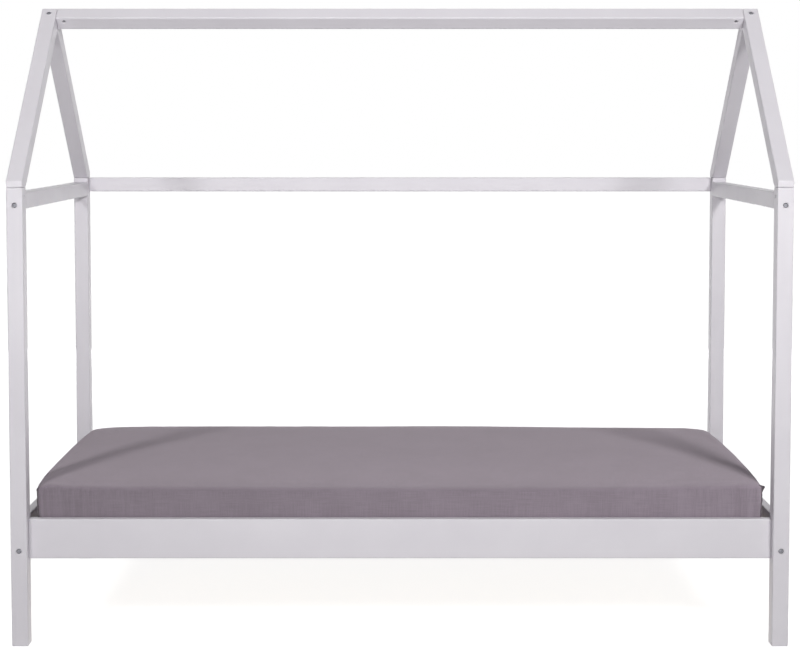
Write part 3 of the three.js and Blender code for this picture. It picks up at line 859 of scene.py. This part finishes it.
def settle(cloth_piece, body):
    pinned = cloth_piece.vertex_groups.new(name="held_beneath")
    drawn = cloth_piece.vertex_groups.new(name="corner_seams")
    for vertex in cloth_piece.data.vertices:
        x, y, z = vertex.co
        if z < body_low.z + PINNED_BELOW and vertex.normal.z < FACING_DOWN:
            pinned.add([vertex.index], 1, "REPLACE")
        from_corner = Vector((half_length - abs(x), half_width - abs(y))).length
        if from_corner < SEAM_REACH:
            drawn.add([vertex.index], 1 - from_corner / SEAM_REACH, "REPLACE")
    body.modifiers.new("firm", "COLLISION")
    body.collision.thickness_outer = COLLISION_GAP
    body.collision.cloth_friction = 8
    cloth = cloth_piece.modifiers.new("settle", "CLOTH")
    cloth.settings.quality = 5
    cloth.settings.mass = 0.15
    cloth.settings.tension_stiffness = cloth.settings.compression_stiffness = 25
    cloth.settings.shear_stiffness = 8
    cloth.settings.bending_stiffness = 0.3
    cloth.settings.vertex_group_mass = pinned.name
    cloth.settings.vertex_group_shrink = drawn.name
    cloth.settings.shrink_min = -SHEET_EASE
    cloth.settings.shrink_max = SEAM_DRAWN
    cloth.collision_settings.distance_min = COLLISION_GAP
    cloth.collision_settings.collision_quality = 3
    run_cloth(cloth_piece, SETTLE_FRAMES)
    body.modifiers.clear()


settle(sheet, mattress)
for vertex in sheet.data.vertices:
    vertex.co.z = max(vertex.co.z, cloth_bottom)
smoother = sheet.modifiers.new("smoother", "SUBSURF")
smoother.levels = smoother.render_levels = 1
applied(sheet)
print("smoothed sheet:", len(sheet.data.vertices), "points")

# %% [markdown]
# ## Room for the cloth
# Where foam and sheet share one surface, specks of the ticking would show through the cotton. The
# mattress is drawn in by a little more than a millimetre, except where it lies on the slats. Then
# it takes the place of the plain block of the CAD model. It has no UV map, so the ticking that
# shows beneath, inside the hem, is one plain tone.

# %% Mattress a little smaller than its sheet
BODY_CLEAR = 1.2 * MM
bm = bmesh.new()
bm.from_mesh(mattress.data)
bm.normal_update()
for vertex in bm.verts:
    if vertex.normal.z > FACING_DOWN:
        vertex.co -= vertex.normal * BODY_CLEAR
bm.to_mesh(mattress.data)
bm.free()

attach(mattress, "root")
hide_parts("mattress")
print("mattress top at", round(max(v.co.z for v in mattress.data.vertices), 3), "m")

# %% [markdown]
# ## Seams and hem
# The sewing shows where cloth is doubled. Each seam, and the hem, is a thin bar that follows a path
# over the cloth. One helper makes such a bar from a cube that is cut into even squares.

# %% Bars that follow a path
def bar_along(steps, length, width, place):
    """A closed bar of even squares; place(t, u, v) gives each point, with t running along it."""
    bm = bmesh.new()
    bmesh.ops.create_cube(bm, size=1)
    for axis, cuts in ((2, steps), (0, 2), (1, 2)):
        cut_along(bm, axis, 0.5, cuts)
    layer = bm.loops.layers.uv.new("cut")
    for face in bm.faces:
        for loop in face.loops:
            u, v, t = loop.vert.co
            loop[layer].uv = (width * (u + v), length * (t + 0.5))
    for vertex in bm.verts:
        u, v, t = vertex.co
        vertex.co = place(t + 0.5, u, v + 0.5)
    return bm


print("bars of even squares ready")

# %% [markdown]
# At each corner the seam allowance makes a low standing ridge, which ends at the top in a small ear
# where the cut's inner corner was turned over. The ridge has to lie on the simulated cloth, so for
# each height a ray is shot at the corner from outside, and the ridge is rooted where the ray meets
# the cloth. The table gives each corner's sides, the way its seam points, and how far its ear stands.

# %% Corners of the settled sheet
CORNERS = {
    "front_left": (-1, -1, Vector((-0.93, -0.37, 0)), 1.2 * MM),
    "front_right": (1, -1, Vector((0.93, -0.37, 0)), 8.5 * MM),
    "back_left": (-1, 1, Vector((-0.75, 0.66, 0)), 3 * MM),
    "back_right": (1, 1, Vector((0.75, 0.66, 0)), 3.5 * MM),
}
cloth_surface = BVHTree.FromPolygons([v.co[:] for v in sheet.data.vertices],
                                     [p.vertices[:] for p in sheet.data.polygons])
print("cloth to shoot rays at:", len(sheet.data.polygons), "faces")

# %% [markdown]
# Slow noise makes each ridge uneven in height and lets it waver sideways. It is read at another
# place for each corner, so that no two seams are alike. Near the top the ear flares out and up.

# %% Corner seams
SEAM_HIGH = 3.4 * MM
SEAM_UNEVEN = 0.5
SEAM_BUMPS = 14
SEAM_HIGH_AT_TOP = 0.2
SEAM_GROWS = 20
SEAM_WIDE = 3.4 * MM
SEAM_TAPER = 0.45
SEAM_WAVER = 1.4 * MM
SEAM_WAVES = 5
SEAM_SEEDS = (3.1, 7.7)
SEAM_ROOT = 0.8 * MM
SEAM_STEPS = 60
SEAM_INSET = 13 * MM
SEAM_BELOW_TOP = 2 * MM
SEAM_FOOT = sheet_low.z + 5 * MM
EAR_AT = 0.05
EAR_REACH = 0.045
EAR_LIFT = 0.35
RAY_FROM = 0.1


def corner_seam(side_x, side_y, outward, ear):
    """The standing ridge at one corner, from just below the top of the cloth down to its foot."""
    up = Vector((0, 0, 1))
    outward = outward.normalized()
    sideways = up.cross(outward)
    seed = side_x * SEAM_SEEDS[0] + side_y * SEAM_SEEDS[1]

    def on_cloth_at(height):
        start = Vector((side_x * half_length, side_y * half_width, height)) + outward * RAY_FROM
        return cloth_surface.ray_cast(start, -outward)[0]

    above = on_cloth_at((sheet_low.z + sheet_high.z) / 2) - outward * SEAM_INSET + up
    top = cloth_surface.ray_cast(above, -up)[0].z - SEAM_BELOW_TOP

    def place(t, u, v):
        root = on_cloth_at(top + (SEAM_FOOT - top) * t)
        waver = noise.noise(Vector((seed, SEAM_WAVES * t, 0)))
        uneven = 1 + SEAM_UNEVEN * noise.noise(Vector((seed, SEAM_BUMPS * t, 3)))
        flare = math.exp(-((t - EAR_AT) / EAR_REACH) ** 2)
        stands = SEAM_HIGH * uneven * min(1, SEAM_GROWS * t + SEAM_HIGH_AT_TOP)
        stands += ear * flare
        return (root + outward * (v * stands - SEAM_ROOT)
                + sideways * (u * SEAM_WIDE * (1 - SEAM_TAPER * v) + SEAM_WAVER * waver * v)
                + up * (EAR_LIFT * ear * flare * v))

    return bar_along(SEAM_STEPS, top - SEAM_FOOT, SEAM_WIDE, place)


sewing = []
for corner_name, corner_facts in CORNERS.items():
    bm = corner_seam(*corner_facts)
    # Each seam wears the near-black seam cloth: painted shade along the corner.
    sewing.append(piece_from(bm, f"sheet_seam_{corner_name}", seam_cotton))
print("seams:", ", ".join(CORNERS))

# %% [markdown]
# The hem runs beneath the mattress as a rectangle with rounded corners. Going round it is a walk
# along four straights and four quarter circles, each the first one turned by quarters.

# %% Path of the hem
HEM_CORNER = 18 * MM
hem_x = half_length - HEM_TUCK
hem_y = half_width - HEM_TUCK
hem_length = 4 * (hem_x + hem_y) - (8 - 2 * math.pi) * HEM_CORNER


def round_the_hem(t):
    """A place on a rounded rectangle and the direction outward from it, once round for t 0 to 1."""
    straight_x = 2 * (hem_x - HEM_CORNER)
    straight_y = 2 * (hem_y - HEM_CORNER)
    arc = HEM_CORNER * QUARTER
    left = t * 2 * (straight_x + straight_y + 2 * arc)
    for turn in range(4):
        straight = straight_x if turn % 2 == 0 else straight_y
        reach = hem_y if turn % 2 == 0 else hem_x
        spin = Matrix.Rotation(-turn * QUARTER, 3, "Z")
        step, angle = min(left, straight), 0
        if left <= straight:
            break
        left -= straight
        angle = min(left, arc) / HEM_CORNER
        if left <= arc or turn == 3:
            break
        left -= arc
    outward = Vector((math.sin(angle), math.cos(angle), 0))
    place = Vector((step - straight / 2, reach - HEM_CORNER, 0)) + outward * HEM_CORNER
    return spin @ place, spin @ outward


print("hem:", round(hem_length, 2), "m round")

# %% [markdown]
# The hem is a flat casing, gathered on its elastic. It sags a little where no slat carries it.

# %% Hem casing
HEM_WIDE = 9 * MM
HEM_FLAT = 1.0 * MM
HEM_SAG = 3.2 * MM
HEM_STEPS = 1500
HELD_BESIDE_SLAT = 5 * MM
SAG_BEGINS_OVER = 12 * MM
SAG_NARROWS = 0.25
SAG_TAPERS = 0.3
GATHER = 15 * MM
GATHER_DEEP = 0.25
GATHER_WIDE = 0.7 * MM
GATHER_UNEVEN = 2
GATHER_WAVES = 31
hem_top = sheet_low.z + 1.5 * MM
slat_boxes = [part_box(n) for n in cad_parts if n.startswith("slat_") and n[5:].isdigit()]


def over_slat(x):
    """1 over a slat, 0 well away from every slat."""
    gap = min(max(low.x - x, x - high.x) for low, high in slat_boxes)
    return min(1, max(0, 1 - (gap - HELD_BESIDE_SLAT) / SAG_BEGINS_OVER))


def hem_place(t, u, v):
    middle, outward = round_the_hem(min(t, 1))
    uneven = GATHER_UNEVEN * noise.noise(middle * GATHER_WAVES)
    gather = math.sin(2 * math.pi * t * hem_length / GATHER + uneven)
    free = 1 - over_slat(middle.x)
    down = 1 - v
    thick = HEM_FLAT + HEM_SAG * free * (1 - GATHER_DEEP + GATHER_DEEP * gather)
    wide = HEM_WIDE * (1 - SAG_NARROWS * free) + GATHER_WIDE * gather
    aside = u * wide * (1 - SAG_TAPERS * free * down)
    return middle + outward * aside + Vector((0, 0, hem_top - thick * down))


bm = bar_along(HEM_STEPS, hem_length, HEM_WIDE, hem_place)
sewing.append(piece_from(bm, "sheet_hem_casing", sheet_cotton))

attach(sheet, "root")
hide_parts("fitted_sheet")
for sewn in sewing:
    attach(sewn, "root")
print("pieces sewn to the sheet:", len(sewing))

# %% [markdown]
# ## Screws and staples
# Each ledger is screwed to its side rail from inside, and each slat is stapled to both tapes.
# These parts repeat many times, so each is modelled once, small and plain, and then copied.

# %% Copies of a small part
def place_copies(source, matrices, name, material):
    bm = bmesh.new()
    for matrix in matrices:
        before = len(bm.verts)
        bm.from_mesh(source)
        bm.verts.ensure_lookup_table()
        bmesh.ops.transform(bm, matrix=matrix, verts=bm.verts[before:])
    piece = piece_from(bm, name, material, smooth=False)
    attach(piece, "root")


def eased_box(size, ease):
    bm = bmesh.new()
    bmesh.ops.create_cube(bm, size=1)
    bmesh.ops.scale(bm, vec=size, verts=bm.verts)
    if ease:
        bmesh.ops.bevel(bm, geom=bm.edges[:], offset=ease, affect="EDGES", segments=2, profile=0.5,
                        material=-1)
    return bm


print("small part helpers ready")

# %% [markdown]
# A screw's head is a short cone that stands a hair proud of the ledger. Its cross is cut with a
# boolean, which gives crisp walls, and the driver leaves each one turned another way.

# %% Ledger screws
SCREW_HEAD = 3.6 * MM
SCREW_PROUD = 0.3 * MM
SCREW_DEEP = 2.2 * MM
SCREW_SIDES = 20
CROSS = (4.2 * MM, 0.9 * MM, 1.2 * MM)
SCREWS_A_SIDE = 9
SCREW_SPAN = 0.93
DRIVER_TURN = 0.7


def screw_head():
    """A countersunk head that faces +Z, with its rim at height 0 and a cross cut into it."""
    bm = bmesh.new()
    bmesh.ops.create_cone(bm, cap_ends=True, segments=SCREW_SIDES, radius1=SCREW_HEAD / 2,
                          radius2=SCREW_HEAD, depth=SCREW_DEEP)
    bmesh.ops.translate(bm, vec=(0, 0, -SCREW_DEEP / 2), verts=bm.verts)
    head = placed("screw_head", mesh_of(bm, "screw_head"))
    cutters = []
    for turn in (0, QUARTER):
        bm = eased_box(CROSS, 0)
        bmesh.ops.rotate(bm, cent=(0, 0, 0), matrix=Matrix.Rotation(turn, 3, "Z"), verts=bm.verts)
        cutter = placed("cross", mesh_of(bm, "cross"))
        cut = head.modifiers.new("cross", "BOOLEAN")
        cut.object, cut.operation, cut.solver = cutter, "DIFFERENCE", "EXACT"
        cutters.append(cutter)
    mesh = applied(head).data
    for spent in (head, *cutters):
        bpy.data.objects.remove(spent)
    return mesh


screw_places = []
for side_name, facing in (("front", 1), ("back", -1)):
    ledger_low, ledger_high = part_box(f"ledger_{side_name}")
    face_y = ledger_high.y if facing > 0 else ledger_low.y
    for number in range(SCREWS_A_SIDE):
        x = SCREW_SPAN * (2 * number / (SCREWS_A_SIDE - 1) - 1)
        place = Vector((x, face_y + facing * SCREW_PROUD, (ledger_low.z + ledger_high.z) / 2))
        upright = Matrix.Rotation(-facing * QUARTER, 4, "X")
        spin = Matrix.Rotation(DRIVER_TURN * number + facing, 4, "Z")
        screw_places.append(Matrix.Translation(place) @ upright @ spin)
place_copies(screw_head(), screw_places, "ledger_screws", zinc)
print("screws:", len(screw_places))

# %% [markdown]
# Two staples hold each tape to each slat. They lie across the tape, pressed a little into its
# weave, and never quite square.

# %% Tape staples
STAPLE = Vector((1.3, 11, 0.6)) * MM
STAPLE_EASE = 0.2 * MM
STAPLE_SUNK = 0.1 * MM
STAPLE_APART = 22 * MM
STAPLE_LEAN = 0.22
staple_places = []
for side_name in ("front", "back"):
    tape_low, tape_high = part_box(f"slat_tape_{side_name}")
    y = (tape_low.y + tape_high.y) / 2
    z = tape_low.z - STAPLE.z / 2 + STAPLE_SUNK
    for low, high in slat_boxes:
        for side in (-1, 1):
            x = (low.x + high.x) / 2 + side * STAPLE_APART / 2
            angle = STAPLE_LEAN * noise.noise(Vector((len(staple_places), 0.5, 0)))
            lean = Matrix.Rotation(angle, 4, "Z")
            staple_places.append(Matrix.Translation(Vector((x, y, z))) @ lean)
staple = mesh_of(eased_box(STAPLE, STAPLE_EASE), "staple")
place_copies(staple, staple_places, "tape_staples", zinc)
print("staples:", len(staple_places))

# %% [markdown]
# ## Lamps
# The picture was lit by two soft boxes beside the camera, four metres high and a little out to
# each side, the right one stronger. Each casts the shadow of the front post on its own side as a
# soft band across the mattress. A long low box in front brightens what faces down. Three weak
# fills near the floor, behind and beside the bed, keep its other sides from going black; they are
# left out of reflections, because the gloss of the lacquer would show them. The table gives each
# lamp's place, aim and size in metres, its watts, and its spread in degrees.

# %% Lamps
LOW_ON_THE_BED = (0, 0.1, 0.9)
LAMPS = {
    "left_box": ((-3.71, -5.76, 4.0), (0, 0, 1.7), (0.8, 0.8), 38, 90),
    "right_box": ((3.10, -6.03, 4.0), (0, 0, 1.7), (1.3, 1.3), 65, 90),
    "low_box": ((0, -4.6, 0.5), (0, 0, 2.2), (4.0, 0.8), 12, 70),
    "back_fill": ((0, 6.0, 0.32), LOW_ON_THE_BED, (5.0, 0.5), 110, 120),
    "left_fill": ((-5.5, 0.8, 0.32), LOW_ON_THE_BED, (2.5, 0.5), 9, 120),
    "right_fill": ((5.5, 0.8, 0.32), LOW_ON_THE_BED, (2.5, 0.5), 14, 120),
}


def soft_box(name, place, target, size, power, spread):
    data = bpy.data.lights.new(name, "AREA")
    data.shape = "RECTANGLE"
    data.size, data.size_y = size
    data.energy = power
    data.spread = math.radians(spread)
    lamp = placed(name, data)
    lamp.location = place
    lamp.rotation_euler = (Vector(target) - Vector(place)).to_track_quat("-Z", "Y").to_euler()
    lamp.visible_camera = False
    lamp.visible_glossy = not name.endswith("fill")


for lamp_name, lamp_facts in LAMPS.items():
    soft_box(lamp_name, *lamp_facts)
print("lamps:", ", ".join(LAMPS))

# %% [markdown]
# ## Backdrop
# The picture's ground is pure white, but a white surrounding would light the bed from every side
# and wash out its shadows. The Light Path node tells rays apart: what the camera sees, directly,
# in a reflection or through glass, is white, and all other rays meet a dim, slightly cool grey.

# %% World
AMBIENT = (0.98, 0.98, 1.0, 1)
AMBIENT_STRENGTH = 0.1


def seen_by_camera(tree):
    """1 where the camera looks, straight or by a reflection or through glass, and otherwise 0."""
    rays = add(tree, "LightPath").outputs
    mirrored = sums(tree, "MAXIMUM", rays["Is Glossy Ray"], rays["Is Transmission Ray"])
    return sums(tree, "MAXIMUM", rays["Is Camera Ray"], mirrored)


def studio_world():
    world = bpy.data.worlds.new("studio")
    world.use_nodes = True
    tree = world.node_tree
    tree.nodes.clear()
    ambient = add(tree, "Background", {"Color": AMBIENT, "Strength": AMBIENT_STRENGTH})
    white = add(tree, "Background", {"Color": (1, 1, 1, 1), "Strength": 1.0})
    either = add(tree, "MixShader", {0: seen_by_camera(tree), 1: ambient.outputs[0], 2: white.outputs[0]})
    out = tree.nodes.new("ShaderNodeOutputWorld")
    tree.links.new(either.outputs[0], out.inputs["Surface"])
    return world


bpy.context.scene.world = studio_world()
print("world:", bpy.context.scene.world.name)

# %% [markdown]
# ## Floor
# The floor has to look as white as the backdrop, and still show the shadow that sets the bed down
# on it. So it glows to the camera a little less near the bed than far from it, and only the
# missing part is real light, which the bed can shade. The glow does not light the bed, because
# it too is switched by the Light Path node.

# %% Floor
FLOOR_SIZE = 40
FLOOR_TONE = (0.7, 0.7, 0.7, 1)
FLOOR_NEAR = 0.84
FLOOR_FAR = 1.0
FLOOR_FADE = (1.6, 7.0)


def pale_floor():
    """White to the camera, a little less close to the bed, where the shadow has to show."""
    material, tree, shader = new_material("studio_floor")
    away = add(tree, "VectorMath", {0: in_place(tree)}, operation="LENGTH").outputs["Value"]
    glow = remap(tree, away, *FLOOR_FADE, FLOOR_NEAR, FLOOR_FAR)
    give(tree, shader, {
        "Base Color": FLOOR_TONE, "Roughness": 0.8, "Specular IOR Level": 0,
        "Emission Color": (1, 1, 1, 1),
        "Emission Strength": sums(tree, "MULTIPLY", seen_by_camera(tree), glow),
    })
    return material


bm = bmesh.new()
bmesh.ops.create_grid(bm, x_segments=1, y_segments=1, size=FLOOR_SIZE)
floor = placed("floor", mesh_of(bm, "floor"))
floor.data.materials.append(pale_floor())
print("floor glows from", FLOOR_NEAR, "near the bed to", FLOOR_FAR)

# %% [markdown]
# ## Plain colours
# The Standard view shows colours as they were set, so white stays white.

# %% Plain colours
bpy.context.scene.view_settings.view_transform = "Standard"
